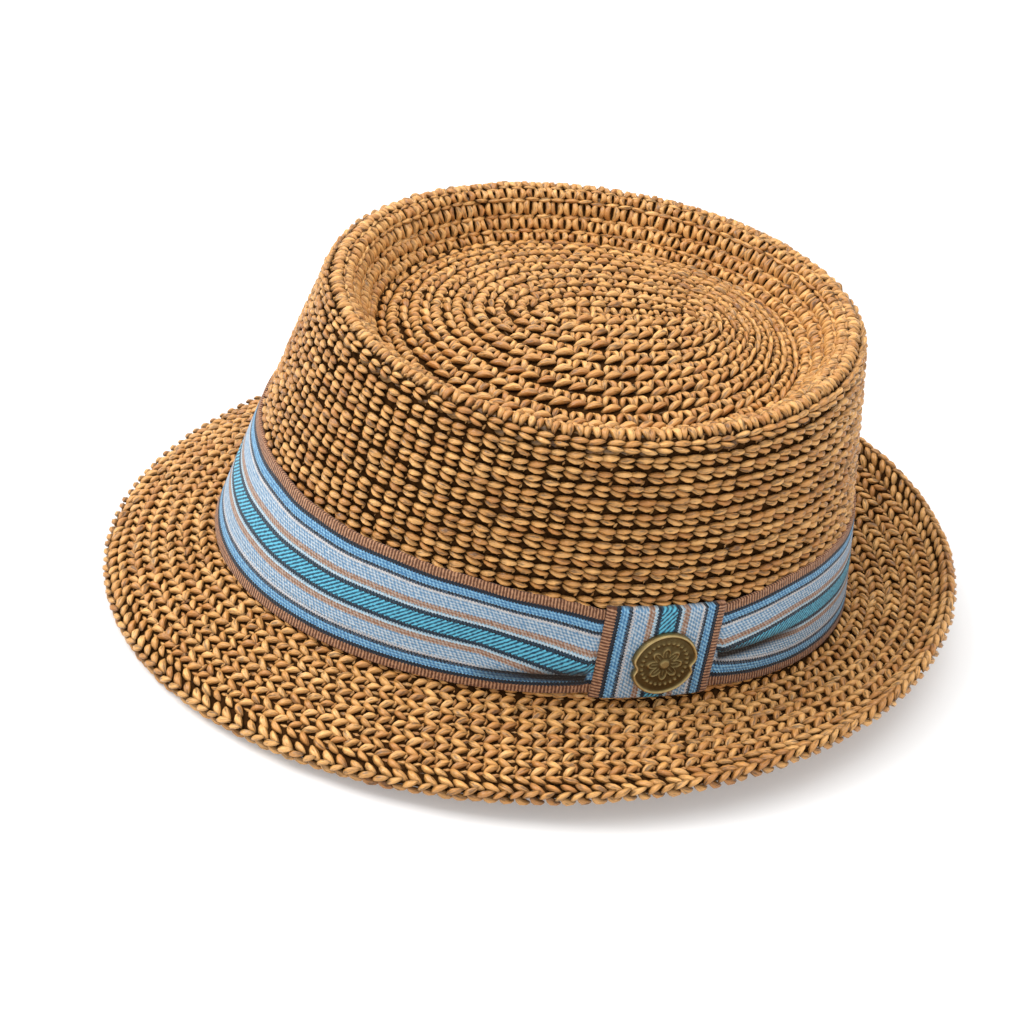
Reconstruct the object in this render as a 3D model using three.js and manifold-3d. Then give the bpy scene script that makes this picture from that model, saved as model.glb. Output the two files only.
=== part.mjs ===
// Porkpie hat of crocheted paper straw, with a striped ribbon band, a ribbon keeper and a metal badge.
// Millimetres, +Z up. The front of the hat faces -Y and the wearer's left side faces +X.
// Angles around the hat start at the wearer's left and pass the back at 90 degrees.

import * as THREE from 'three';
import { mergeVertices } from 'three/addons/utils/BufferGeometryUtils.js';
import Module from 'manifold-3d';

const wasm = await Module();
wasm.setup();

// Head opening, measured outside the straw along the band line, where crown and brim meet
const headLength = 205;
const headWidth = 172;
const bandLineDip = 3;            // the line dips this much at front and back, and rises as much at the sides
const strawThickness = 2.6;

// Brim
const brimWidth = 37.2;           // straight from the band line to the edge
const brimTurn = { front: -25, side: -5.5, back: 34 };         // degrees above level
const brimBelly = { front: 0.03, side: 0.01, back: -0.075 };   // bow of the section, shares of the brim width
const brimRootRadius = 2;
const edgeThickness = 4.2;        // the bound edge is thicker than the straw
const edgeReach = 5;

// Crown
const crownHeight = 90;           // band line to the crest of the rim
const crestLevel = { front: 0.95, side: 0.99, back: 1.05 };    // shares of the crown height
const wallBow = 0.4;              // the side wall bows out this much halfway up
const rimLength = 155;            // along the crest
const rimWidth = 152;
const rimShift = 2.5;             // the crest's oval sits this far behind the head's
const rimTaper = 0.04;            // the crest is this share wider ahead of its middle
const rimRadius = 5;

// Pinched groove inside the rim, and the dome in its middle
const grooveDepth = 14;           // below the crest
const grooveInset = 13;           // inward from the crest
const innerWallSag = 1;           // the wall down to the groove hangs this much below straight
const domeRise = 9;               // centre above the groove
const domePower = 2.1;
const chainLength = 38;           // straight start of the crochet, in the middle of the dome
const chainShift = 13;            // its middle lies this far behind the head's

// Ribbon band
const ribbonThickness = 1;
const ribbonGap = 0.3;            // between any two layers
const bandTop = { front: 41, side: 36.5, back: 40 };           // above the band line, along the wall
const bandSeat = 1.3;             // lower edge above the band line
const foldLift = 1.1;             // a fold stands this much proud of the band
const foldRise = 5;               // at this distance from the keeper

// Keeper, a short loop of the same ribbon drawn tight around the band
const keeperWidth = 37.4;         // along the band line, at its foot
const keeperTopWidth = 40.2;      // between the same radial lines at its top, where the wall is narrower
const keeperAngle = 7.8;          // degrees behind the wearer's left
const keeperTop = 33.2;
const keeperFoot = 2.2;
const gatherStart = 1.5;          // the band narrows towards the keeper up to this far from it,
const gatherReach = 18;           // to 0.37 of the draw for each such length

// Folds that run into the keeper: side of it, height beside it and at the far end, and length.
// Heights are shares of the band's height there, lengths are shares of the keeper's width.
const folds = [
  { side: -1, near: 0.285, far: 0.22, length: 0.9 },
  { side: 1, near: 0.45, far: 0.46, length: 1 },
  { side: 1, near: 0.26, far: 0.3, length: 1.1 },
];
const foldSpan = 0.3;             // a fold fades out over this share of the band's height

// Badge
const badgeWidth = 20.7;
const badgeHeight = 20.6;
const badgeThickness = 1.2;
const badgeLip = 0.6;             // raised lip around the badge
const badgeLipWidth = 1.2;
const badgeRise = 15.2;           // centre above the band line
const badgeShift = 1.1;           // centre behind the keeper's middle
const badgeNotch = 1.3;           // depth of the notch on each side
const notchLevel = -0.12;         // its place, as a share of half the badge's height
const notchSpan = 0.16;
const postRadius = 1.2;

// How finely the surfaces are divided
const sidesStraw = 80;
const sidesBand = 96;
const sidesBadge = 40;
const evenness = 0.7;             // 1 spaces the band's sections evenly around the hat

const up = new THREE.Vector3(0, 0, 1);
const rad = THREE.MathUtils.degToRad;
const smooth = THREE.MathUtils.smoothstep;

// A value given at front, sides and back, blended smoothly around the hat
function around(row, angle) {
  const level = (2 * row.side + row.front + row.back) / 4;
  const tilt = (row.back - row.front) / 2;
  const saddle = (2 * row.side - row.front - row.back) / 4;
  return level + tilt * Math.sin(angle) + saddle * Math.cos(2 * angle);
}

function ovalNormal(length, width, angle) {
  return new THREE.Vector3(length * Math.cos(angle), width * Math.sin(angle), 0).normalize();
}

function bandLine(angle) {
  const dip = bandLineDip * Math.cos(2 * angle);
  return new THREE.Vector3(headWidth / 2 * Math.cos(angle), headLength / 2 * Math.sin(angle), dip);
}

function crest(angle) {
  const wide = rimWidth / 2 * (1 - rimTaper * Math.sin(angle));
  const rise = crownHeight * around(crestLevel, angle);
  return new THREE.Vector3(wide * Math.cos(angle), rimShift + rimLength / 2 * Math.sin(angle), rise);
}

// Directions at one angle: out of the head's oval, out of the brim and up the wall
function directions(angle) {
  const out = ovalNormal(headLength, headWidth, angle);
  const turn = rad(around(brimTurn, angle));
  const brim = out.clone().multiplyScalar(Math.cos(turn)).addScaledVector(up, Math.sin(turn));
  const brimUp = up.clone().multiplyScalar(Math.cos(turn)).addScaledVector(out, -Math.sin(turn));
  const rimOut = ovalNormal(rimLength, rimWidth, angle);
  const shoulder = crest(angle).addScaledVector(rimOut, rimRadius).addScaledVector(up, -rimRadius);
  const wall = shoulder.clone().sub(bandLine(angle));
  const wallLength = wall.length();
  wall.normalize();
  const wallOut = out.clone().addScaledVector(wall, -out.dot(wall)).normalize();
  return { out, brim, brimUp, rimOut, shoulder, wall, wallLength, wallOut };
}

// Point on the outside of the crown's wall, at a height along it and a distance off it
function wallPoint(angle, height, off = 0) {
  const d = directions(angle);
  const share = height / d.wallLength;
  const bow = wallBow * 4 * share * (1 - share);
  return bandLine(angle).addScaledVector(d.wall, height).addScaledVector(d.wallOut, off + bow);
}

function brimPoint(angle, share) {
  const d = directions(angle);
  const bow = brimWidth * around(brimBelly, angle) * 4 * share * (1 - share);
  return bandLine(angle).addScaledVector(d.brim, brimWidth * share).addScaledVector(d.brimUp, bow);
}

// Small round between brim and wall
function rootPoint(angle, share) {
  const d = directions(angle);
  const foot = (1 - share) ** 2 * brimRootRadius;
  const rise = share ** 2 * brimRootRadius;
  return bandLine(angle).addScaledVector(d.brim, foot).addScaledVector(d.wall, rise);
}

function rimPoint(angle, turn) {
  const d = directions(angle);
  return crest(angle).addScaledVector(d.rimOut, rimRadius * Math.cos(turn))
    .addScaledVector(up, rimRadius * (Math.sin(turn) - 1));
}

function groovePoint(angle) {
  const d = directions(angle);
  return crest(angle).addScaledVector(d.rimOut, -grooveInset).addScaledVector(up, -grooveDepth);
}

// Dome inside the groove, from the groove at share 1 to the straight start chain at share 0
function domePoint(angle, share) {
  const groove = groovePoint(angle);
  const chain = new THREE.Vector3(0, chainShift + chainLength / 2 * Math.sin(angle), 0);
  const point = chain.lerp(groove, share);
  const top = crownHeight * crestLevel.side - grooveDepth + domeRise;
  point.z = THREE.MathUtils.lerp(top, groove.z, share ** domePower);
  return point;
}

// Outer side of the straw from the edge of the brim to the middle of the dome
const brimShares = [0.98, 0.93, 0.86, 0.68, 0.44, 0.2];
const rootShares = [0.2, 0.8];
const wallShares = [0.25, 0.55, 0.82];
const rimTurns = [5, 45, 85, 120, 155];
const innerWallShares = [0.65];
const domeShares = [0.98, 0.85, 0.5, 0.12];

function outerPoints(angle) {
  const d = directions(angle);
  const inner = rimPoint(angle, rad(rimTurns.at(-1)));
  const groove = groovePoint(angle);
  return [
    ...brimShares.map((share) => brimPoint(angle, share)),
    ...rootShares.map((share) => rootPoint(angle, share)),
    ...wallShares.map((share) => wallPoint(angle, share * d.wallLength)),
    ...rimTurns.map((turn) => rimPoint(angle, rad(turn))),
    ...innerWallShares.map((share) => inner.clone().lerp(groove, share)
      .addScaledVector(up, -innerWallSag * 4 * share * (1 - share))),
    ...domeShares.map((share) => domePoint(angle, share)),
  ];
}

function angles(count) {
  return Array.from({ length: count }, (_, i) => i / count * 2 * Math.PI);
}

// Normals of a grid of points whose rows close around the hat
function gridNormals(rows) {
  return rows.map((row, j) => row.map((_, i) => {
    const along = row[(i + 1) % row.length].clone().sub(row.at(i - 1));
    const across = rows[Math.min(j + 1, rows.length - 1)][i].clone().sub(rows[Math.max(j - 1, 0)][i]);
    return along.cross(across).normalize();
  }));
}

// Closed body from rings of points: each ring joins the next, and both ends are closed
// by a point in the middle, by a triangulated outline, or by joining the last ring to the first
function ringSolid(rings, ends) {
  const count = rings[0].length;
  const points = rings.flat();
  const faces = [];
  const joins = ends === 'loop' ? rings.length : rings.length - 1;
  for (let j = 0; j < joins; j++) {
    for (let i = 0; i < count; i++) {
      const a = j * count + i;
      const b = j * count + (i + 1) % count;
      const c = (j + 1) % rings.length * count + i;
      const d = (j + 1) % rings.length * count + (i + 1) % count;
      faces.push(a, b, d, a, d, c);
    }
  }
  const last = (rings.length - 1) * count;
  if (ends === 'points') {
    const first = points.push(middle(rings[0])) - 1;
    const final = points.push(middle(rings.at(-1))) - 1;
    for (let i = 0; i < count; i++) {
      faces.push(first, (i + 1) % count, i, final, last + i, last + (i + 1) % count);
    }
  } else if (Array.isArray(ends)) {
    for (const [a, b, c] of THREE.ShapeUtils.triangulateShape(ends, [])) {
      faces.push(a, c, b, last + a, last + b, last + c);
    }
  }
  const geometry = new THREE.BufferGeometry();
  geometry.setAttribute('position', new THREE.Float32BufferAttribute(points.flatMap((p) => p.toArray()), 3));
  geometry.setIndex(faces);
  return facingOut(geometry);
}

function middle(ring) {
  return ring.reduce((sum, p) => sum.add(p), new THREE.Vector3()).divideScalar(ring.length);
}

function facingOut(geometry) {
  const index = geometry.getIndex();
  const position = geometry.getAttribute('position');
  const corner = (k) => new THREE.Vector3().fromBufferAttribute(position, index.getX(k));
  let volume = 0;
  for (let k = 0; k < index.count; k += 3) {
    volume += corner(k).dot(corner(k + 1).cross(corner(k + 2)));
  }
  if (volume < 0) {
    for (let k = 0; k < index.count; k += 3) {
      const swap = index.getX(k);
      index.setX(k, index.getX(k + 1));
      index.setX(k + 1, swap);
    }
  }
  return geometry;
}

function toSolid(geometry) {
  const bare = geometry.clone();
  bare.deleteAttribute('normal');
  bare.deleteAttribute('uv');
  const merged = mergeVertices(bare);
  const mesh = new wasm.Mesh({
    numProp: 3,
    vertProperties: merged.getAttribute('position').array,
    triVerts: new Uint32Array(merged.getIndex().array),
  });
  return new wasm.Manifold(mesh);
}

function fromSolid(solid) {
  const { vertProperties, triVerts } = solid.getMesh();
  const geometry = new THREE.BufferGeometry();
  geometry.setAttribute('position', new THREE.BufferAttribute(vertProperties, 3));
  geometry.setIndex(new THREE.BufferAttribute(triVerts, 1));
  return geometry;
}

// Crown and brim, crocheted in one piece
function strawBody() {
  const columns = angles(sidesStraw).map(outerPoints);
  const outer = columns[0].map((_, j) => columns.map((column) => column[j]));
  const normals = gridNormals(outer);
  const extra = (j) => {
    const reach = (1 - (brimShares[j] ?? 0)) * brimWidth;
    return (edgeThickness - strawThickness) / 2 * (1 - smooth(reach, edgeReach / 2, edgeReach));
  };
  const shifted = (row, j, distance) => row.map((p, i) => p.clone().addScaledVector(normals[j][i], distance));
  const top = outer.map((row, j) => shifted(row, j, extra(j)));
  const under = outer.map((row, j) => shifted(row, j, -strawThickness - extra(j)));
  const edge = angles(sidesStraw).map((angle) =>
    brimPoint(angle, 1).addScaledVector(directions(angle).brimUp, -strawThickness / 2));
  return ringSolid([...under.reverse(), edge, ...top], 'points');
}

const keeperMiddle = rad(keeperAngle);
const keeperHalf = Math.max(keeperWidth, keeperTopWidth) / 2;

// Signed length along the band line from the keeper's middle
function fromKeeper(angle) {
  const turn = THREE.MathUtils.euclideanModulo(angle - keeperMiddle + Math.PI, 2 * Math.PI) - Math.PI;
  return turn * ovalPull(keeperMiddle + turn / 2);
}

// Length along the head's oval for each radian at an angle
function ovalPull(angle) {
  return Math.hypot(headWidth / 2 * Math.sin(angle), headLength / 2 * Math.cos(angle));
}

// Upper and lower edge of the band, drawn together where it runs through the keeper
function bandEdges(angle) {
  const steep = Math.max(0, Math.tan(rad(around(brimTurn, angle))));
  const foot = bandSeat + steep * (ribbonThickness + ribbonGap);
  const past = Math.abs(fromKeeper(angle)) - keeperHalf - gatherStart;
  const drawn = Math.exp(-Math.max(0, past) / gatherReach);
  const lip = ribbonThickness + ribbonGap;
  return {
    low: THREE.MathUtils.lerp(foot, keeperFoot + lip, drawn),
    high: THREE.MathUtils.lerp(around(bandTop, angle), keeperTop - lip, drawn),
  };
}

// How far the folds lift the band's outside, at a share of its height
function foldHeight(angle, share) {
  const along = fromKeeper(angle);
  let lift = 0;
  for (const fold of folds) {
    const past = fold.side * along - keeperHalf;
    const reach = past / (fold.length * keeperWidth);
    if (reach > 0 && reach < 1) {
      const line = THREE.MathUtils.lerp(fold.near, fold.far, reach);
      const above = (share - line) / foldSpan;
      const shape = above < 0 ? 0 : Math.max(0, 1 - above);
      lift = Math.max(lift, foldLift * shape * smooth(past, gatherStart, foldRise) * (1 - reach));
    }
  }
  return lift;
}

// Angles around the hat, closer together near the keeper
function bandAngles() {
  return Array.from({ length: sidesBand }, (_, i) => {
    const way = 2 * i / sidesBand - 1;
    return keeperMiddle + Math.PI * THREE.MathUtils.lerp(way ** 3, way, evenness);
  });
}

function ribbonBand() {
  const outerShares = [0, 0.15, 0.26, 0.34, 0.42, 0.5, 0.6, 0.72, 0.86, 1];
  const innerShares = [1, 0.5, 0];
  const rings = bandAngles().map((angle) => {
    const { low, high } = bandEdges(angle);
    const at = (share, off) => wallPoint(angle, THREE.MathUtils.lerp(low, high, share), off);
    const face = ribbonGap + ribbonThickness;
    return [
      ...outerShares.map((share) => at(share, face + foldHeight(angle, share))),
      ...innerShares.map((share) => at(share, ribbonGap)),
    ];
  });
  return ringSolid(rings, 'loop');
}

// Distances of the keeper's and badge's faces off the wall
const keeperInside = ribbonGap + ribbonThickness + ribbonGap;
const keeperOutside = keeperInside + ribbonThickness;

function angleAt(length) {
  return keeperMiddle + length / ovalPull(keeperMiddle);
}

// Plate over the band, with its upper and lower ends turned in to the wall
function keeperGeometry() {
  const foot = keeperFoot;
  const top = keeperTop;
  const t = ribbonThickness;
  const section = [
    [ribbonGap, foot], [keeperOutside - t / 2, foot], [keeperOutside, foot + t / 2],
    [keeperOutside, (foot + top) / 2], [keeperOutside, top - t / 2], [keeperOutside - t / 2, top],
    [ribbonGap, top], [ribbonGap, top - t], [keeperInside, top - t],
    [keeperInside, (foot + top) / 2], [keeperInside, foot + t], [ribbonGap, foot + t],
  ].map(([off, height]) => new THREE.Vector2(off, height));
  const steps = 12;
  const rings = [];
  for (let k = 0; k <= steps; k++) {
    rings.push(section.map(({ x: off, y: height }) => {
      const half = THREE.MathUtils.lerp(keeperWidth, keeperTopWidth, (height - foot) / (top - foot)) / 2;
      return wallPoint(angleAt((2 * k / steps - 1) * half), height, off);
    }));
  }
  return ringSolid(rings, section);
}

// The badge's outline: an oval with a notch on each side
function badgeOutline(inset) {
  return angles(sidesBadge).map((angle) => {
    const away = (Math.sin(angle) - notchLevel) / notchSpan;
    const notch = badgeNotch * Math.exp(-away * away);
    const x = (badgeWidth / 2 - inset - notch) * Math.cos(angle);
    return new THREE.Vector2(x, (badgeHeight / 2 - inset) * Math.sin(angle));
  });
}

// Stack of the badge's outline at several depths, closed by a point in the middle of each end
function badgePlate() {
  const steps = [
    { inset: 0, depth: 0 },
    { inset: 0, depth: badgeThickness },
    { inset: badgeLipWidth / 3, depth: badgeThickness + badgeLip },
    { inset: badgeLipWidth * 2 / 3, depth: badgeThickness + badgeLip },
    { inset: badgeLipWidth, depth: badgeThickness },
  ];
  return ringSolid(steps.map(({ inset, depth }) =>
    badgeOutline(inset).map((p) => new THREE.Vector3(p.x, p.y, depth))), 'points');
}

// Round bar along the badge's depth, between two depths
function post(radius, from, to) {
  const geometry = new THREE.CylinderGeometry(radius, radius, to - from, 16);
  return geometry.rotateX(Math.PI / 2).translate(0, 0, (from + to) / 2);
}

// Places the badge's own frame, depth outwards, just off the face of the keeper
function badgeFrame() {
  const angle = angleAt(badgeShift);
  const at = wallPoint(angle, badgeRise, keeperOutside + ribbonGap);
  const d = directions(angle);
  const side = new THREE.Vector3().crossVectors(d.wall, d.wallOut).normalize();
  return new THREE.Matrix4().makeBasis(side, d.wall, d.wallOut).setPosition(at);
}

// A plain post behind the badge passes through a round hole in the keeper
const place = badgeFrame();
const keeperBack = -ribbonGap - ribbonThickness;
const badgePost = post(postRadius, keeperBack, badgeThickness / 2);
const badgeGeometry = fromSolid(toSolid(badgePlate()).add(toSolid(badgePost))).applyMatrix4(place);
const hole = post(postRadius + ribbonGap, keeperBack - ribbonThickness, ribbonThickness).applyMatrix4(place);
const keeper = fromSolid(toSolid(keeperGeometry()).subtract(toSolid(hole)));

function part(name, geometry, color, roughness, metalness) {
  const mesh = new THREE.Mesh(geometry, new THREE.MeshStandardMaterial({ color, roughness, metalness }));
  mesh.name = name;
  return mesh;
}

const hat = new THREE.Group();
hat.add(part('straw_body', strawBody(), 0xc1925a, 0.6, 0));
hat.add(part('ribbon_band', ribbonBand(), 0x6fa3c4, 0.7, 0));
hat.add(part('ribbon_keeper', keeper, 0x5f8fb0, 0.7, 0));
hat.add(part('badge', badgeGeometry, 0x6e5a2c, 0.4, 1));

// The hat rests on the front edge of its brim and on the back of its band line
function lowest(lean, ahead) {
  const turn = new THREE.Matrix4().makeRotationX(-lean);
  const point = new THREE.Vector3();
  const position = hat.getObjectByName('straw_body').geometry.getAttribute('position');
  let found = new THREE.Vector3(0, 0, Infinity);
  for (let k = 0; k < position.count; k++) {
    point.fromBufferAttribute(position, k).applyMatrix4(turn);
    if (point.y * ahead < 0 && point.z < found.z) found = point.clone();
  }
  return found;
}

function restLean() {
  let lean = 0;
  for (let k = 0; k < 4; k++) {
    const front = lowest(lean, 1);
    const back = lowest(lean, -1);
    lean += Math.atan2(back.z - front.z, back.y - front.y);
  }
  return lean;
}

hat.rotation.x = -restLean();
hat.updateMatrixWorld(true);
const box = new THREE.Box3().setFromObject(hat, true);
const centre = box.getCenter(new THREE.Vector3());
hat.position.set(-centre.x, -centre.y, -box.min.z);
hat.updateMatrixWorld(true);

export default hat;
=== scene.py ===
import math
import bpy
import numpy as np
from mathutils import Matrix, Vector


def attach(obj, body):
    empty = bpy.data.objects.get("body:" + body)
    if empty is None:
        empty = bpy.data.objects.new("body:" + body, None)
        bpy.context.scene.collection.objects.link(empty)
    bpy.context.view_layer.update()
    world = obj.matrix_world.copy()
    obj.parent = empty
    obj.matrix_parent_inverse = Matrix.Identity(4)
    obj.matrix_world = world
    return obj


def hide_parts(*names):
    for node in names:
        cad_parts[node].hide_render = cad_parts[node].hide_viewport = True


# Porkpie hat of crocheted paper straw with a striped ribbon band, a ribbon keeper and a metal badge.
# Shapes are worked out in millimetres in the hat's own frame: its front faces -Y, the wearer's left
# faces +X, and angles around the hat start at the left and pass the back at 90 degrees.

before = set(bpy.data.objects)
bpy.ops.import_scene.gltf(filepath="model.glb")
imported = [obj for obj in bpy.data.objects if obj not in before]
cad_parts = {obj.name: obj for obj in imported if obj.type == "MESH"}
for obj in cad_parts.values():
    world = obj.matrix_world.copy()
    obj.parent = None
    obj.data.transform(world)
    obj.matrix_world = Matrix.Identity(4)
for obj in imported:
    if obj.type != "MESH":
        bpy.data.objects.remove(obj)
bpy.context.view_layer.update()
scene = bpy.context.scene
print("frame loaded:", ", ".join(sorted(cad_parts)))

# Rows of three are values at the front, the sides and the back
hatShape = {
    "headLength": 205.0,
    "headWidth": 172.0,
    "bandLineDip": 3.0,
    "strawThickness": 2.6,
    "brimWidth": 37.2,
    "brimTurn": (-25.0, -5.5, 34.0),  # degrees above level
    "brimBelly": (0.03, 0.01, -0.075),  # bow of the section, shares of the brim width
    "edgeThickness": 4.2,
    "crownHeight": 90.0,
    "crestLevel": (0.95, 0.99, 1.05),  # shares of the crown height
    "wallBow": 0.4,
    "rimLength": 155.0,
    "rimWidth": 152.0,
    "rimShift": 2.5,
    "rimTaper": 0.04,
    "rimRadius": 5.0,
    "grooveDepth": 14.0,
    "grooveInset": 13.0,
    "domeRise": 9.0,
    "domePower": 2.1,
    "chainLength": 38.0,
    "chainShift": 13.0,
}

# How the hat lies on the floor: leaning back on its brim and band line
restPose = {
    "lean": 3.962246,  # degrees
    "shift": (0.0, 0.376108, 11.937713),
}


def vec(x, y, z):
    return np.stack(np.broadcast_arrays(x, y, z), -1).astype(float)


def unit(v):
    return v / np.maximum(np.linalg.norm(v, axis=-1, keepdims=True), 1e-9)


def col(values):
    return np.asarray(values, float)[..., None]


def smooth(x, low, high):
    t = np.clip((x - low) / (high - low), 0, 1)
    return t * t * (3 - 2 * t)


def mix(a, b, share):
    return a + (b - a) * share


upward = np.array([0.0, 0.0, 1.0])


def around(row, angle):
    front, side, back = row
    level = (2 * side + front + back) / 4
    saddle = (2 * side - front - back) / 4
    return level + (back - front) / 2 * np.sin(angle) + saddle * np.cos(2 * angle)


def ovalNormal(length, width, angle):
    return unit(vec(length * np.cos(angle), width * np.sin(angle), 0))


def bandLine(angle):
    s = hatShape
    x = s["headWidth"] / 2 * np.cos(angle)
    y = s["headLength"] / 2 * np.sin(angle)
    return vec(x, y, s["bandLineDip"] * np.cos(2 * angle))


def crest(angle):
    s = hatShape
    wide = s["rimWidth"] / 2 * (1 - s["rimTaper"] * np.sin(angle))
    y = s["rimShift"] + s["rimLength"] / 2 * np.sin(angle)
    return vec(wide * np.cos(angle), y, s["crownHeight"] * around(s["crestLevel"], angle))


def directions(angle):
    s = hatShape
    out = ovalNormal(s["headLength"], s["headWidth"], angle)
    turn = col(np.radians(around(s["brimTurn"], angle)))
    brim = out * np.cos(turn) + upward * np.sin(turn)
    brimUp = upward * np.cos(turn) - out * np.sin(turn)
    rimOut = ovalNormal(s["rimLength"], s["rimWidth"], angle)
    shoulder = crest(angle) + rimOut * s["rimRadius"] - upward * s["rimRadius"]
    wall = shoulder - bandLine(angle)
    wallLength = np.linalg.norm(wall, axis=-1)
    wall = unit(wall)
    wallOut = unit(out - wall * col((out * wall).sum(-1)))
    return {"out": out, "brim": brim, "brimUp": brimUp, "rimOut": rimOut,
            "wall": wall, "wallLength": wallLength, "wallOut": wallOut}


def wallPoint(angle, height, off=0.0):
    d = directions(angle)
    share = height / d["wallLength"]
    bow = hatShape["wallBow"] * 4 * share * (1 - share)
    return bandLine(angle) + d["wall"] * col(height) + d["wallOut"] * col(off + bow)


def brimPoint(angle, share):
    d = directions(angle)
    bow = hatShape["brimWidth"] * around(hatShape["brimBelly"], angle) * 4 * share * (1 - share)
    return bandLine(angle) + d["brim"] * col(hatShape["brimWidth"] * share) + d["brimUp"] * col(bow)


def rimPoint(angle, turn):
    radius = hatShape["rimRadius"]
    rimOut = directions(angle)["rimOut"]
    return crest(angle) + rimOut * col(radius * np.cos(turn)) + upward * col(radius * (np.sin(turn) - 1))


def groovePoint(angle):
    s = hatShape
    return crest(angle) - directions(angle)["rimOut"] * s["grooveInset"] - upward * s["grooveDepth"]


def domePoint(angle, share):
    s = hatShape
    groove = groovePoint(angle)
    chain = vec(0, s["chainShift"] + s["chainLength"] / 2 * np.sin(angle), 0)
    point = mix(chain, groove, col(share))
    top = s["crownHeight"] * s["crestLevel"][1] - s["grooveDepth"] + s["domeRise"]
    point[..., 2] = mix(top, groove[..., 2], share ** s["domePower"])
    return point


# Stretches of the hat's outer side, each from 0 to 1 on the way from the brim's edge to the tip's middle
rimStart, rimEnd = 5.0, 155.0


def brimSide(angle, share):
    return brimPoint(angle, 1 - share)


def wallSide(angle, share):
    return wallPoint(angle, share * directions(angle)["wallLength"])


def rimSide(angle, share):
    return rimPoint(angle, np.radians(mix(rimStart, rimEnd, share)))


def innerSide(angle, share):
    start = rimPoint(angle, np.radians(rimEnd))
    return mix(start, groovePoint(angle), col(share)) - upward * col(4 * share * (1 - share))


def domeSide(angle, share):
    return domePoint(angle, 1 - share)


# Round edge of the brim, from its underside at 0 to its upper side at 1
def edgeSide(angle, share):
    s = hatShape
    d = directions(angle)
    half = s["edgeThickness"] / 2
    centre = brimPoint(angle, 1 - half / s["brimWidth"]) - d["brimUp"] * (s["strawThickness"] / 2)
    turn = np.radians(mix(-80, 80, share))
    return centre + d["brim"] * col(half * np.cos(turn)) + d["brimUp"] * col(half * np.sin(turn))


# Point on a stretch, with the directions along the row, across it and out of the straw
def surfaceAt(side, angle, share, under=False):
    angle = np.asarray(angle, float)
    share = np.broadcast_to(np.asarray(share, float), angle.shape)
    step = 0.004
    low = np.clip(share - step, 0.001, 0.999)
    high = np.clip(share + step, 0.001, 0.999)
    along = unit(side(angle + step, share) - side(angle - step, share))
    across = unit(side(angle, high) - side(angle, low))
    face = unit(np.cross(along, across))
    point = side(angle, share)
    if under:
        point = point - face * hatShape["strawThickness"]
        face = -face
    return point, along, face


lean = math.radians(restPose["lean"])
restTurn = np.array([[1, 0, 0],
                     [0, math.cos(lean), math.sin(lean)],
                     [0, -math.sin(lean), math.cos(lean)]])


# From the hat's own frame in millimetres to the floor's frame in metres
def toFloor(points):
    return (np.asarray(points) @ restTurn.T + np.array(restPose["shift"])) / 1000


def turnToFloor(vectors):
    return np.asarray(vectors) @ restTurn.T


def addMesh(name, points, faces, material, smoothFaces=True):
    mesh = bpy.data.meshes.new(name)
    mesh.from_pydata([tuple(p) for p in points], [], faces)
    mesh.polygons.foreach_set("use_smooth", [smoothFaces] * len(mesh.polygons))
    mesh.update()
    item = bpy.data.objects.new(name, mesh)
    scene.collection.objects.link(item)
    if material:
        mesh.materials.append(material)
    return item


# Short ways to add nodes, for materials and for Geometry Nodes
class nodeBoard:
    def __init__(self, tree):
        self.tree = tree

    def add(self, kind, settings=None, **inputs):
        node = self.tree.nodes.new(kind)
        for key, value in (settings or {}).items():
            setattr(node, key, value)
        for key, value in inputs.items():
            self.put(node.inputs[key.replace("_", " ")], value)
        return node

    def put(self, socket, value):
        if isinstance(value, bpy.types.NodeSocket):
            self.tree.links.new(value, socket)
        else:
            socket.default_value = value

    def maths(self, operation, a, b=0.0, clamp=False):
        node = self.add("ShaderNodeMath", {"operation": operation, "use_clamp": clamp})
        self.put(node.inputs[0], a)
        self.put(node.inputs[1], b)
        return node.outputs[0]

    def ramp(self, value, stops, interpolation="LINEAR"):
        node = self.add("ShaderNodeValToRGB", Fac=value)
        band = node.color_ramp
        band.interpolation = interpolation
        while len(band.elements) > 1:
            band.elements.remove(band.elements[-1])
        band.elements[0].position = stops[0][0]
        band.elements[0].color = (*stops[0][1], 1)
        for place, colour in stops[1:]:
            band.elements.new(place).color = (*colour, 1)
        return node.outputs["Color"]

    def blend(self, share, a, b, kind="MIX"):
        node = self.add("ShaderNodeMix", {"data_type": "RGBA", "blend_type": kind})
        self.put(node.inputs[0], share)
        self.put(node.inputs[6], a)
        self.put(node.inputs[7], b)
        return node.outputs[2]


def newMaterial(name):
    material = bpy.data.materials.new(name)
    material.use_nodes = True
    material.node_tree.nodes.clear()
    board = nodeBoard(material.node_tree)
    shader = board.add("ShaderNodeBsdfPrincipled")
    output = board.add("ShaderNodeOutputMaterial")
    board.put(output.inputs["Surface"], shader.outputs[0])
    return material, board, shader


# Straw: twisted paper in warm tans, with fine lengthwise creases
strawLook = {
    "tones": ((0.0, (0.26, 0.092, 0.018)), (0.18, (0.44, 0.185, 0.046)), (0.5, (0.60, 0.295, 0.085)),
              (0.8, (0.72, 0.385, 0.128)), (1.0, (0.84, 0.500, 0.200))),
    "roughness": 0.34,
    "creaseShade": 0.36,
    "fibreStretch": (1.3, 5.5),  # along and around a strand
    "fibreDepth": 0.0008,  # metres
    "patchScale": 38.0,  # of the slow drift of tone over the hat
    "gapShadeTone": (0.020, 0.0085, 0.0028),  # near-black painted shade of the thin wall seen between the stitches
}


def greys(*stops):
    return [(place, (value,) * 3) for place, value in stops]


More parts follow.
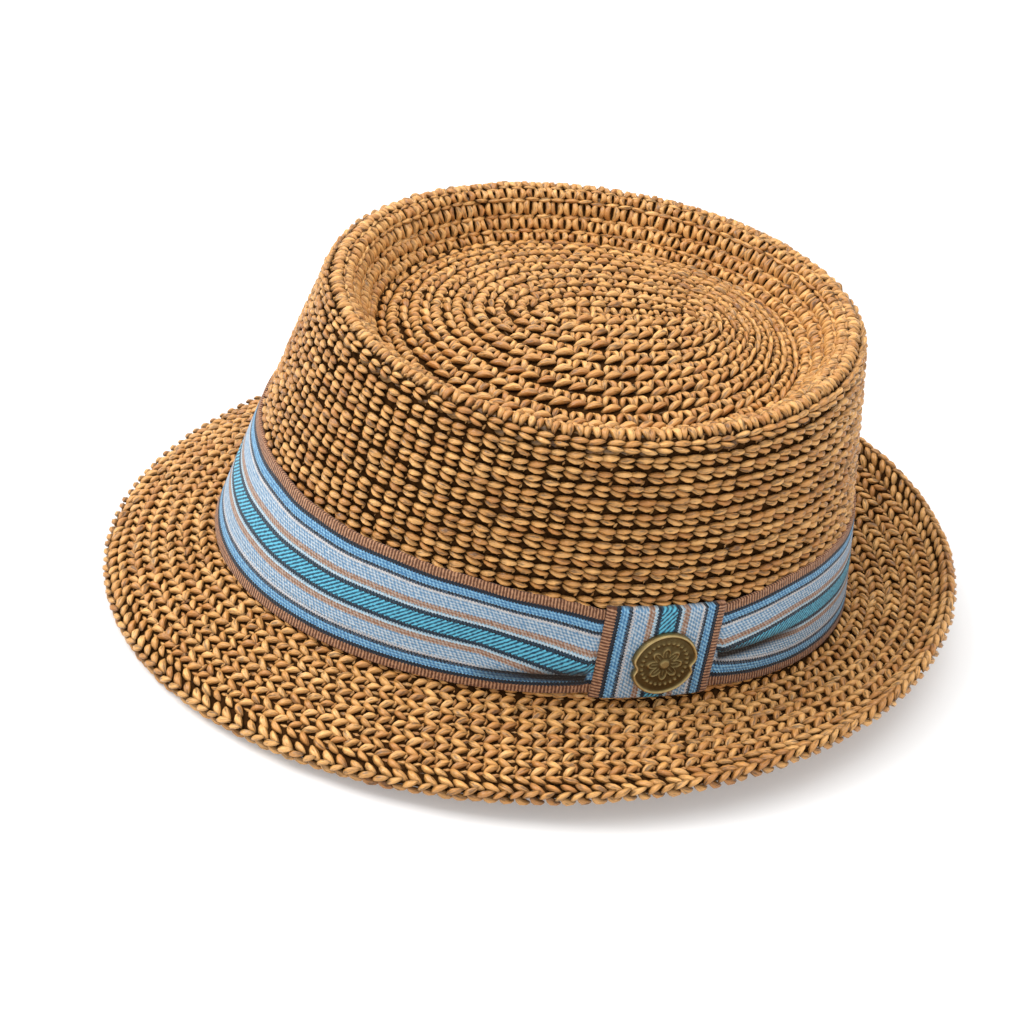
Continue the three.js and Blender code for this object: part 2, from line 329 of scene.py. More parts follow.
def strawMaterial():
    material, board, shader = newMaterial("strawStrand")
    tone = board.add("ShaderNodeAttribute", {"attribute_name": "tone"}).outputs["Fac"]
    leaf = board.add("ShaderNodeAttribute", {"attribute_name": "leaf"}).outputs["Fac"]
    mixedTone = board.maths("FRACT", board.maths("ADD", tone, board.maths("MULTIPLY", leaf, 0.37)))
    uv = board.add("ShaderNodeUVMap", {"uv_map": "UVMap"}).outputs["UV"]
    parts = board.add("ShaderNodeSeparateXYZ", Vector=uv).outputs
    stretchX, stretchY = strawLook["fibreStretch"]
    drawn = board.add("ShaderNodeCombineXYZ", X=board.maths("MULTIPLY", parts[0], stretchX),
                      Y=board.maths("MULTIPLY", parts[1], stretchY),
                      Z=board.maths("MULTIPLY", mixedTone, 60.0)).outputs[0]
    fibre = board.add("ShaderNodeTexNoise", Vector=drawn, Scale=1.0, Detail=3.0,
                      Roughness=0.6).outputs["Fac"]
    place = board.add("ShaderNodeTexCoord").outputs["Object"]
    patch = board.add("ShaderNodeTexNoise", Vector=place, Scale=strawLook["patchScale"],
                      Detail=2.0).outputs["Fac"]
    shade = board.maths("ADD", board.maths("MULTIPLY", mixedTone, 0.62),
                        board.maths("MULTIPLY", patch, 0.38), clamp=True)
    colour = board.ramp(shade, strawLook["tones"])
    # painted shade in the creases and painted highlight on the ridges between them, following the fibre
    # bump
    lines = board.ramp(fibre, ((0.34, (strawLook["creaseShade"],) * 3), (0.45, (0.93, 0.92, 0.90)),
                               (0.58, (1.08, 1.08, 1.06)), (0.72, (1.30, 1.30, 1.28))))
    colour = board.blend(1.0, colour, lines, "MULTIPLY")
    # painted shade where a strand dips under its neighbours, at both tips and along its sides and
    # underside, with a slight painted highlight along its top and middle
    endShade = board.ramp(parts[0], greys((0.0, 0.30), (0.16, 0.92), (0.5, 1.06), (0.86, 0.95), (1.0, 0.42)))
    flankShade = board.ramp(parts[1], greys((0.0, 0.55), (0.10, 0.95), (0.25, 1.06), (0.40, 0.92), (0.5, 0.5),
                                        (0.75, 0.2), (1.0, 0.55)))
    colour = board.blend(1.0, colour, board.blend(1.0, endShade, flankShade, "MULTIPLY"), "MULTIPLY")
    board.put(shader.inputs["Base Color"], colour)
    rough = board.maths("ADD", board.maths("MULTIPLY", fibre, 0.22), strawLook["roughness"] - 0.11)
    board.put(shader.inputs["Roughness"], rough)
    shader.inputs["Specular IOR Level"].default_value = 0.5
    bump = board.add("ShaderNodeBump", Strength=1.0, Distance=strawLook["fibreDepth"], Height=fibre)
    board.put(shader.inputs["Normal"], bump.outputs[0])
    return material


# near-black painted shade with a faint grain, for the gaps between the stitches
def gapShadeMaterial():
    material, board, shader = newMaterial("gapShadeBacking")
    place = board.add("ShaderNodeTexCoord").outputs["Object"]
    grain = board.add("ShaderNodeTexNoise", Vector=place, Scale=700.0, Detail=3.0).outputs["Fac"]
    dark = strawLook["gapShadeTone"]
    pale = tuple(c * 3.0 for c in dark)
    board.put(shader.inputs["Base Color"], board.ramp(grain, ((0.35, dark), (0.75, pale))))
    shader.inputs["Roughness"].default_value = 1.0
    shader.inputs["Specular IOR Level"].default_value = 0.0
    bump = board.add("ShaderNodeBump", Strength=0.6, Distance=0.0004, Height=grain)
    board.put(shader.inputs["Normal"], bump.outputs[0])
    return material


straw = strawMaterial()
gapShade = gapShadeMaterial()

# The thin wall behind the stitches, near-black as painted shade in their gaps
shellPlan = {
    "sides": 240,
    "inset": 1.05,  # below both faces of the straw
    "rows": {"brim": 14, "wall": 14, "rim": 12, "inner": 5, "dome": 14},
}


def strawShell():
    count = shellPlan["sides"]
    angle = np.arange(count) / count * 2 * np.pi
    rows = shellPlan["rows"]
    stretches = [(brimSide, np.linspace(0.03, 0.96, rows["brim"])),
                 (wallSide, np.linspace(0.03, 0.98, rows["wall"])),
                 (rimSide, np.linspace(0, 1, rows["rim"])),
                 (innerSide, np.linspace(0.1, 0.85, rows["inner"])),
                 (domeSide, np.linspace(0.02, 0.97, rows["dome"]))]
    outer, inner = [], []
    for side, shares in stretches:
        for share in shares:
            point, along, face = surfaceAt(side, angle, share)
            outer.append(point - face * shellPlan["inset"])
            inner.append(point - face * (hatShape["strawThickness"] - shellPlan["inset"]))
    rings = inner[::-1] + outer
    points = np.concatenate(rings)
    faces = []
    for j in range(len(rings) - 1):
        for i in range(count):
            k = (i + 1) % count
            faces.append((j * count + i, j * count + k, (j + 1) * count + k, (j + 1) * count + i))
    last = (len(rings) - 1) * count
    for i in range(-count // 4, count // 4):
        a, b = i % count, (i + 1) % count
        c, d = (count // 2 - i - 1) % count, (count // 2 - i) % count
        faces.append(tuple(dict.fromkeys((last + a, last + b, last + c, last + d))))
        faces.append(tuple(dict.fromkeys((d, c, b, a))))
    shell = addMesh("strawShell", toFloor(points), faces, gapShade)
    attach(shell, "root")
    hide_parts("straw_body")


strawShell()
print("straw shell made")

# Stitches. Each is a few plump strands; x runs along the row, y across it towards the tip, z out.
# Columns: length, width, depth, centre x, y, z, turn in degrees, arch out, bend sideways,
# slope out along the strand.
strandColumns = ("length", "width", "depth", "x", "y", "z", "turn", "arch", "bend", "slope")
stitchKinds = {
    # two plump strands that meet at one end, with a thin strand across the dark gap between the rows
    "wall": ((5.7, 2.20, 2.5, 0.15, 0.88, -1.00, 8, 0.75, 0.25, 1.1),
             (5.4, 1.95, 2.3, -0.1, -0.95, -1.05, -11, 0.70, -0.25, 0.8),
             (2.7, 1.15, 1.2, 2.2, 2.40, -1.75, 70, 0.30, 0.2, 0.0)),
    # a broad V over short thin strands, as on the brim
    "chain": ((5.7, 2.30, 2.3, 0.0, 1.32, -1.00, 34, 0.65, 0.50, 0.6),
              (5.7, 2.30, 2.3, 0.0, -1.32, -1.00, -34, 0.65, -0.50, 0.6),
              (3.6, 1.50, 1.4, 1.9, 0.0, -1.35, 4, 0.30, 0.0, 0.0),
              (3.6, 1.55, 1.4, 2.2, 2.60, -1.30, 80, 0.40, 0.0, 0.0)),
    # a rope strand along the row beside a pair of short upright loops, as on the rounds of the tip
    "tip": ((6.5, 2.35, 2.5, 0.0, -1.80, -0.85, 17, 0.80, 0.30, 1.1),
            (4.3, 2.00, 2.1, -1.15, 1.10, -1.10, 68, 0.60, 0.65, 0.3),
            (4.3, 2.00, 2.1, 1.15, 1.10, -1.10, 110, 0.60, -0.65, 0.3),
            (4.2, 1.35, 1.4, 0.0, 2.70, -1.30, 3, 0.25, 0.20, 0.0)),
    # round upright loops under a strand along the row, inside the rim
    "loop": ((5.2, 2.40, 2.4, -0.92, -0.1, -1.00, 88, 0.65, 1.40, 0.3),
             (5.2, 2.40, 2.4, 0.92, -0.1, -1.00, 92, 0.65, -1.40, 0.3),
             (5.6, 1.95, 1.7, 0.0, 2.30, -0.95, 5, 0.30, 0.3, 0.5)),
    # short plump loops on the crest of the rim
    "bead": ((4.8, 2.40, 2.4, -1.10, 0.0, -1.00, 74, 0.70, 0.55, 0.3),
             (4.8, 2.40, 2.4, 1.10, 0.0, -1.00, 106, 0.70, -0.55, 0.3),
             (4.6, 1.55, 1.5, 0.0, 2.1, -1.15, 4, 0.25, 0.2, 0.3)),
    "edgeIn": ((6.2, 2.60, 2.4, 0.0, 0.0, -0.85, -38, 0.60, -0.45, 0.6),),
    "edgeOut": ((6.2, 2.60, 2.4, 0.0, 0.0, -0.85, 38, 0.60, 0.45, 0.6),),
    "plain": ((6.2, 2.4, 2.0, 0.0, 1.15, -0.85, 12, 0.5, 0.2, 0.4),
              (6.2, 2.4, 2.0, 0.0, -1.15, -0.85, -12, 0.5, -0.2, 0.4)),
}
# pitch along the row and from row to row that each kind is drawn for
stitchPitch = {"wall": (4.8, 4.9), "chain": (4.5, 5.3), "tip": (4.7, 6.6),
               "loop": (4.5, 4.7), "bead": (4.5, 4.4),
               "edgeIn": (4.3, 3.2), "edgeOut": (4.3, 3.2), "plain": (5.0, 4.7)}
strandDetail = {"plain": (4, 4), "thin": (4, 3), "other": (6, 5)}  # sides and rings of a strand
thinWidth = 1.6


def stitchSource(kind):
    points, faces, uvs, leaf = [], [], [], []
    for number, values in enumerate(stitchKinds[kind]):
        strand = dict(zip(strandColumns, values))
        detail = kind if kind in strandDetail else "thin" if strand["width"] < thinWidth else "other"
        sides, rings = strandDetail[detail]
        t = 0.5 - 0.5 * np.cos(np.pi * np.arange(rings + 2) / (rings + 1))
        turn = np.arange(sides) / sides * 2 * np.pi
        hump = 4 * t * (1 - t)
        x = (t - 0.5) * strand["length"]
        y = strand["bend"] * (hump - 0.5)
        z = strand["z"] + strand["arch"] * hump + strand["slope"] * (t - 0.5)
        thick = np.sin(np.pi * t) ** 0.62
        ring = [(x[0], y[0], z[0])]
        for j in range(1, rings + 1):
            for a in turn:
                ring.append((x[j], y[j] + strand["width"] / 2 * thick[j] * math.cos(a),
                             z[j] + strand["depth"] / 2 * thick[j] * math.sin(a)))
        ring.append((x[-1], y[-1], z[-1]))
        ring = np.array(ring)
        way = math.radians(strand["turn"])
        c, s = math.cos(way), math.sin(way)
        placed = np.stack([strand["x"] + ring[:, 0] * c - ring[:, 1] * s,
                           strand["y"] + ring[:, 0] * s + ring[:, 1] * c, ring[:, 2]], -1)
        base = len(points)
        points.extend(placed / 1000)
        leaf.extend([number] * len(placed))
        last = base + len(placed) - 1
        for i in range(sides):
            k = (i + 1) % sides
            first = base + 1
            faces.append((base, first + k, first + i))
            uvs += [(0, i / sides), (t[1], (i + 1) / sides), (t[1], i / sides)]
            for j in range(rings - 1):
                a, b = first + j * sides, first + (j + 1) * sides
                faces.append((a + i, a + k, b + k, b + i))
                uvs += [(t[j + 1], i / sides), (t[j + 1], (i + 1) / sides),
                        (t[j + 2], (i + 1) / sides), (t[j + 2], i / sides)]
            end = first + (rings - 1) * sides
            faces.append((last, end + i, end + k))
            uvs += [(1, i / sides), (t[-2], i / sides), (t[-2], (i + 1) / sides)]
    source = addMesh("stitch_" + kind, points, faces, None)
    layer = source.data.uv_layers.new(name="UVMap")
    layer.data.foreach_set("uv", np.array(uvs, np.float32).ravel())
    source.data.attributes.new("leaf", "FLOAT", "POINT").data.foreach_set("value", leaf)
    return source


# Geometry Nodes: a stitch on every point of a row, turned to the straw's surface
def crochetTree():
    tree = bpy.data.node_groups.new("crochet", "GeometryNodeTree")
    face = tree.interface
    face.new_socket(name="Rows", in_out="INPUT", socket_type="NodeSocketGeometry")
    for name, kind, value in (("Stitch", "NodeSocketObject", None), ("Straw", "NodeSocketMaterial", None),
                              ("Sway", "NodeSocketFloat", 5.0), ("Vary", "NodeSocketFloat", 0.08),
                              ("Seed", "NodeSocketInt", 1)):
        socket = face.new_socket(name=name, in_out="INPUT", socket_type=kind)
        if value is not None:
            socket.default_value = value
    face.new_socket(name="Stitches", in_out="OUTPUT", socket_type="NodeSocketGeometry")
    board = nodeBoard(tree)
    given = board.add("NodeGroupInput").outputs

    def chance(kind, low, high, shift):
        node = board.add("FunctionNodeRandomValue", {"data_type": kind})
        first = {"FLOAT_VECTOR": 0, "FLOAT": 2}[kind]
        board.put(node.inputs[first], low)
        board.put(node.inputs[first + 1], high)
        board.put(node.inputs["Seed"], board.maths("ADD", given["Seed"], shift))
        return node.outputs[first // 2]

    along = board.add("GeometryNodeInputNamedAttribute", {"data_type": "FLOAT_VECTOR"}, Name="along")
    out = board.add("GeometryNodeInputNamedAttribute", {"data_type": "FLOAT_VECTOR"}, Name="face")
    size = board.add("GeometryNodeInputNamedAttribute", {"data_type": "FLOAT_VECTOR"}, Name="size")
    turned = board.add("FunctionNodeAxesToRotation", {"primary_axis": "Z", "secondary_axis": "X"})
    board.put(turned.inputs[0], out.outputs[0])
    board.put(turned.inputs[1], along.outputs[0])
    sway = board.maths("RADIANS", given["Sway"])
    wanderTurn = board.add("FunctionNodeEulerToRotation")
    board.put(wanderTurn.inputs[0], chance("FLOAT_VECTOR", board.maths("MULTIPLY", sway, -1.0), sway, 0))
    rotation = board.add("FunctionNodeRotateRotation", {"rotation_space": "LOCAL"})
    board.put(rotation.inputs[0], turned.outputs[0])
    board.put(rotation.inputs[1], wanderTurn.outputs[0])
    least = board.maths("SUBTRACT", 1.0, given["Vary"])
    most = board.maths("ADD", 1.0, given["Vary"])
    scaled = board.add("ShaderNodeVectorMath", {"operation": "SCALE"})
    board.put(scaled.inputs[0], size.outputs[0])
    board.put(scaled.inputs["Scale"], chance("FLOAT", least, most, 7))
    stitch = board.add("GeometryNodeObjectInfo", {"transform_space": "ORIGINAL"})
    board.put(stitch.inputs["Object"], given["Stitch"])
    laid = board.add("GeometryNodeInstanceOnPoints")
    board.put(laid.inputs["Points"], given["Rows"])
    board.put(laid.inputs["Instance"], stitch.outputs["Geometry"])
    board.put(laid.inputs["Rotation"], rotation.outputs[0])
    board.put(laid.inputs["Scale"], scaled.outputs[0])
    kept = board.add("GeometryNodeStoreNamedAttribute", {"data_type": "FLOAT", "domain": "INSTANCE"},
                     Name="tone")
    board.put(kept.inputs["Geometry"], laid.outputs["Instances"])
    board.put(kept.inputs["Value"], chance("FLOAT", 0.0, 1.0, 19))
    real = board.add("GeometryNodeRealizeInstances")
    board.put(real.inputs["Geometry"], kept.outputs["Geometry"])
    finish = board.add("GeometryNodeSetMaterial")
    board.put(finish.inputs["Geometry"], real.outputs["Geometry"])
    board.put(finish.inputs["Material"], given["Straw"])
    board.put(board.add("NodeGroupOutput").inputs[0], finish.outputs["Geometry"])
    return tree


# Where the ribbon band lies on the wall
bandPlan = {
    "thickness": 1.0,
    "gap": 0.3,
    "top": (41.0, 36.5, 40.0),  # above the band line, along the wall
    "seat": 1.3,  # of its foot above the band line
    "tuckTop": 3.0,  # the wall's stitches reach this far under its top
    "tuckFoot": 0.2,
}
keeperPlan = {
    "width": 37.4,  # along the band line, at its foot
    "topWidth": 40.2,  # between the same radial lines, at its top
    "angle": 7.8,  # degrees behind the wearer's left
    "top": 33.2,
    "foot": 2.2,
    "gatherStart": 1.5,  # the band narrows towards the keeper up to this far from it
    "gatherReach": 18.0,
}
keeperMiddle = math.radians(keeperPlan["angle"])
keeperHalf = max(keeperPlan["width"], keeperPlan["topWidth"]) / 2


# Length along the head's oval for each radian at an angle
def ovalPull(angle):
    return np.hypot(hatShape["headWidth"] / 2 * np.sin(angle), hatShape["headLength"] / 2 * np.cos(angle))


# Signed length along the band line from the keeper's middle
def fromKeeper(angle):
    turn = np.mod(angle - keeperMiddle + np.pi, 2 * np.pi) - np.pi
    return turn * ovalPull(keeperMiddle + turn / 2)


def bandEdges(angle):
    steep = np.maximum(0, np.tan(np.radians(around(hatShape["brimTurn"], angle))))
    lip = bandPlan["thickness"] + bandPlan["gap"]
    foot = bandPlan["seat"] + steep * lip
    past = np.abs(fromKeeper(angle)) - keeperHalf - keeperPlan["gatherStart"]
    drawn = np.exp(-np.maximum(0, past) / keeperPlan["gatherReach"])
    low = mix(foot, keeperPlan["foot"] + lip, drawn)
    high = mix(around(bandPlan["top"], angle), keeperPlan["top"] - lip, drawn)
    return low, high


# Rows of stitches. Columns: stretch, number of rows, shares of the stretch where they start and end,
# kind of stitch, and whether they are on the underside.
crochet = {
    "brimStitches": ((brimSide, 6, 0.135, 0.985, "chain", False),),
    "edgeBraid": ((brimSide, 1, 0.045, 0.125, "edgeIn", False),
                  (edgeSide, 1, 0.52, 0.92, "edgeOut", False),
                  (edgeSide, 1, 0.10, 0.50, "edgeIn", False),
                  (brimSide, 1, 0.045, 0.125, "edgeOut", True)),
    "wallStitches": ((wallSide, 18, 0.0, 1.0, "wall", False),
                     (wallSide, 1, -0.010, 0.030, "wall", False)),
    "rimStitches": ((rimSide, 1, 0.0, 0.33, "wall", False),
                    (rimSide, 1, 0.33, 0.68, "bead", False),
                    (rimSide, 1, 0.68, 1.0, "loop", False),
                    (innerSide, 3, 0.0, 1.0, "loop", False)),
    "tipStitches": ((domeSide, 9, 0.0, 1.0, "tip", False),),
    "brimUnderside": ((brimSide, 7, 0.13, 0.985, "plain", True),),
    "insideStitches": ((wallSide, 18, 0.0, 1.0, "plain", True),
                       (rimSide, 2, 0.0, 1.0, "plain", True)),
    "insideTip": ((innerSide, 2, 0.0, 1.0, "plain", True),
                  (domeSide, 10, 0.0, 1.0, "plain", True)),
}


# How hand-made the rows look: spread of the stitches' places in millimetres, turn in degrees, size
unevenness = {"along": 0.22, "across": 0.13, "out": 0.10, "sway": 7.5, "vary": 0.10}


# Angles of the stitches of one row, and how far they are stretched along it
def rowAngles(side, share, pitch):
    fine = np.linspace(0, 2 * np.pi, 1441)
    line = side(fine, np.full(fine.shape, share))
    length = np.concatenate([[0], np.cumsum(np.linalg.norm(np.diff(line, axis=0), axis=1))])
    count = max(6, round(length[-1] / pitch))
    at = (np.arange(count) + share * 37.0 % 1) / count * length[-1]
    return np.interp(at % length[-1], length, fine), length[-1] / count / pitch


def layRows(name, rows, sources, tree, seed):
    groups = {}
    chance = np.random.default_rng(seed)
    for side, count, start, end, kind, under in rows:
        step = (end - start) / count
        for share in (mix(start, end, (k + 0.5) / count) for k in range(count)):
            pitch, rowPitch = stitchPitch[kind]
            angle, fit = rowAngles(side, share, pitch)
            if side is wallSide and not under:
                height = share * directions(angle)["wallLength"]
                bandLow, bandHigh = bandEdges(angle)
                above = height > bandHigh - bandPlan["tuckTop"]
                beneath = height < bandLow - bandPlan["tuckFoot"]
                angle = angle[above | beneath]
            if len(angle) == 0:
                continue
            point, along, face = surfaceAt(side, angle, share, under)
            if under:
                along = -along
            across = np.cross(face, along)
            for way, spread in ((along, "along"), (across, "across"), (face, "out")):
                point = point + way * chance.normal(0, unevenness[spread], (len(angle), 1))
            width = np.linalg.norm(side(angle, np.full(angle.shape, share + step / 2))
                                   - side(angle, np.full(angle.shape, share - step / 2)), axis=-1)
            sizes = np.stack([np.full(angle.shape, fit), np.clip(width / rowPitch, 0.5, 1.3),
                              np.ones(angle.shape)], -1)
            groups.setdefault(kind, []).append((point, along, face, sizes))
    made = []
    for kind, parts in groups.items():
        point, along, face, sizes = (np.concatenate(column) for column in zip(*parts))
        carrier = addMesh(name + "_" + kind, toFloor(point), [], None)
        for label, values in (("along", turnToFloor(along)), ("face", turnToFloor(face)), ("size", sizes)):
            layer = carrier.data.attributes.new(label, "FLOAT_VECTOR", "POINT")
            layer.data.foreach_set("vector", values.ravel())
        modifier = carrier.modifiers.new("crochet", "NODES")
        modifier.node_group = tree
        settings = {"Stitch": sources[kind], "Straw": straw, "Sway": unevenness["sway"],
                    "Vary": unevenness["vary"], "Seed": seed}
        for socket in tree.interface.items_tree:
            if socket.name in settings and socket.in_out == "INPUT":
                modifier[socket.identifier] = settings[socket.name]
        bpy.context.view_layer.update()
        graph = bpy.context.evaluated_depsgraph_get()
        mesh = bpy.data.meshes.new_from_object(carrier.evaluated_get(graph), preserve_all_data_layers=True,
                                               depsgraph=graph)
        mesh.name = name
        # the stitches that touch the floor are pressed flat on it
        place = np.zeros(len(mesh.vertices) * 3, np.float32)
        mesh.vertices.foreach_get("co", place)
        place[2::3] = np.maximum(place[2::3], 0)
        mesh.vertices.foreach_set("co", place)
        made.append(mesh)
        bpy.data.objects.remove(carrier)
    pieces = [bpy.data.objects.new(name, mesh) for mesh in made]
    for piece in pieces:
        scene.collection.objects.link(piece)
    if len(pieces) > 1:
        with bpy.context.temp_override(active_object=pieces[0], selected_editable_objects=pieces,
                                       selected_objects=pieces):
            bpy.ops.object.join()
    piece = pieces[0]
    piece.name = name
    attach(piece, "root")
    piece.data.calc_loop_triangles()
    print(name, "has", len(piece.data.loop_triangles), "triangles")


sources = {kind: stitchSource(kind) for kind in stitchKinds}
tree = crochetTree()
for seed, (name, rows) in enumerate(crochet.items()):
    layRows(name, rows, sources, tree, 11 + 10 * seed)
for source in sources.values():
    bpy.data.objects.remove(source)
print("stitches laid")

# Stripes from the middle of the ribbon outwards: share where each starts, its ground and its fleck
ribbonStripes = (
    (0.00, (0.115, 0.510, 0.700), (0.006, 0.055, 0.115)),  # teal twill
    (0.125, (0.004, 0.010, 0.020), (0.016, 0.050, 0.085)),  # navy
    (0.195, (0.270, 0.440, 0.560), (0.560, 0.660, 0.720)),  # pale line
    (0.245, (0.270, 0.130, 0.070), (0.470, 0.360, 0.300)),  # tan
    (0.34, (0.120, 0.260, 0.430), (0.560, 0.640, 0.700)),  # light blue
    (0.56, (0.640, 0.600, 0.570), (0.400, 0.430, 0.490)),  # cream
    (0.60, (0.003, 0.006, 0.012), (0.070, 0.110, 0.160)),  # dark dashes
    (0.66, (0.045, 0.175, 0.370), (0.260, 0.520, 0.720)),  # blue
    (0.785, (0.002, 0.006, 0.014), (0.008, 0.018, 0.034)),  # navy
    (0.855, (0.110, 0.036, 0.013), (0.500, 0.255, 0.135)),  # brown border
)
ribbonLook = {
    "width": 40.0,  # millimetres; one unit of the ribbon's UV map
    "threads": 40.0,  # threads to the width
    "foldShadeTone": (0.010, 0.006, 0.004),  # of the painted shade under a pleat
    "roughness": 0.78,
    "weaveDepth": 0.0003,  # metres
}


def ribbonMaterial():
    material, board, shader = newMaterial("stripedRibbon")
    uv = board.add("ShaderNodeUVMap", {"uv_map": "UVMap"}).outputs["UV"]
    parts = board.add("ShaderNodeSeparateXYZ", Vector=uv).outputs
    u, v = parts[0], parts[1]
    threads = ribbonLook["threads"]
    warp = board.maths("MULTIPLY", u, threads * 2 * math.pi)
    weft = board.maths("MULTIPLY", v, threads * 2 * math.pi)
    warpWave = board.maths("SINE", warp)
    weftWave = board.maths("SINE", weft)
    # threads that run along the ribbon, broken into short dashes
    dashes = board.maths("SINE", board.maths("ADD", board.maths("MULTIPLY", warp, 0.8),
                                             board.maths("MULTIPLY", weft, 0.5)))
    plainWeave = board.maths("ADD", board.maths("MULTIPLY", weftWave, 0.55),
                             board.maths("MULTIPLY", dashes, 0.6))
    fuzz = board.add("ShaderNodeTexNoise", Vector=uv, Scale=threads * 0.9, Detail=2.0).outputs["Fac"]
    level = board.maths("ABSOLUTE", board.maths("MULTIPLY", board.maths("SUBTRACT", v, 0.5), 2.0))
    level = board.maths("ADD", level, board.maths("MULTIPLY", warpWave, 0.010))
    ground = board.ramp(level, [(s, a) for s, a, b in ribbonStripes], "CONSTANT")
    fleck = board.ramp(level, [(s, b) for s, a, b in ribbonStripes], "CONSTANT")
    # diagonal lines in the middle stripe, ribs in the borders, and the broken threads elsewhere
    slant = board.maths("SINE", board.maths("SUBTRACT", board.maths("MULTIPLY", warp, 0.55),
                                            board.maths("MULTIPLY", weft, 0.62)))
    ribs = board.maths("SINE", board.maths("ADD", board.maths("MULTIPLY", warp, 0.95),
                                           board.maths("MULTIPLY", weft, 0.12)))
    middle = board.maths("LESS_THAN", level, 0.125)
    border = board.maths("GREATER_THAN", level, 0.855)
    change = board.maths("MULTIPLY", middle, board.maths("SUBTRACT", slant, plainWeave))
    edging = board.maths("MULTIPLY", border, board.maths("SUBTRACT", ribs, plainWeave))
    wave = board.maths("ADD", board.maths("ADD", plainWeave, change), edging)
    spots = board.maths("ADD", board.maths("MULTIPLY", wave, 0.66), 0.44)
    rough = board.maths("MULTIPLY", board.maths("SUBTRACT", fuzz, 0.5), 2.2)
    spots = board.maths("ADD", spots, rough, clamp=True)
    colour = board.blend(spots, ground, fleck)
    # painted shade under the pleats: the band's foldShade attribute mixes the colour towards a near-black
    # tone
    foldShade = board.add("ShaderNodeAttribute", {"attribute_name": "foldShade"}).outputs["Fac"]
    shadeShare = board.maths("MULTIPLY", foldShade, 1.3, clamp=True)
    colour = board.blend(shadeShare, colour, (*ribbonLook["foldShadeTone"], 1.0))
    board.put(shader.inputs["Base Color"], colour)
    shader.inputs["Roughness"].default_value = ribbonLook["roughness"]
    shader.inputs["Specular IOR Level"].default_value = 0.35
    shader.inputs["Sheen Weight"].default_value = 0.15
    shader.inputs["Sheen Roughness"].default_value = 0.5
    bump = board.add("ShaderNodeBump", Strength=0.9, Distance=ribbonLook["weaveDepth"], Height=spots)
    board.put(shader.inputs["Normal"], bump.outputs[0])
    return material


ribbon = ribbonMaterial()

# Pleats that run into the keeper, one on each side of it. Levels are shares of the band's height, near
# the keeper and far from it; under and over are the places across the ribbon just below and above a pleat.
pleats = (
    {"side": -1, "length": 34.0, "nearLevel": 0.26, "farLevel": 0.20, "nearUnder": 0.17, "nearOver": 0.50},
    {"side": 1, "length": 36.0, "nearLevel": 0.45, "farLevel": 0.44, "nearUnder": 0.28, "nearOver": 0.565},
)
pleatLook = {
    "lift": 1.4,  # of a pleat's lower edge off the band
    "fade": 1.25,  # how soon it flattens along its length
    "sag": 0.5,
    "tuck": 1.4,  # of the ribbon up behind the pleat
    "ripple": 0.22,
    "shadeFull": 1.8,  # the painted shade is full to this far below a pleat
    "shadeReach": 5.0,  # and fades out this far below it
}
bandDetail = {"columns": 420, "lower": 16, "upper": 30, "evenness": 0.55}


